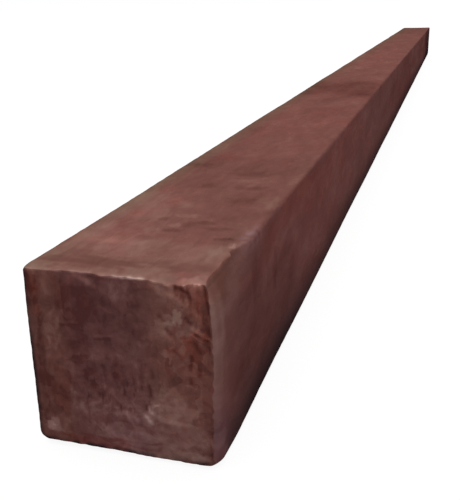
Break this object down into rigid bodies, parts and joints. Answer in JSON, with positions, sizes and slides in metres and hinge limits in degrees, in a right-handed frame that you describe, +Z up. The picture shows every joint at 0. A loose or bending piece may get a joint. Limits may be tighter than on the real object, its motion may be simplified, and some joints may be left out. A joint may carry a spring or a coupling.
{
  "type": "plastic lumber post",
  "caption": "Solid square post of reddish-brown recycled plastic lumber with rounded long edges and sawn ends, lying flat, for fencing, edging and outdoor framing.",
  "frame": {"origin": "middle of the underside of the lying post", "axes": "+Y along the post from its torn front end to its back end, +Z up from the floor, +X to the right when looking along +Y"},
  "size_m": [0.09, 2.4, 0.09],
  "materials": {
    "recycled_plastic": "matte"
  },
  "bodies": {
    "root": {"post": "recycled_plastic"}
  },
  "joints": []
}
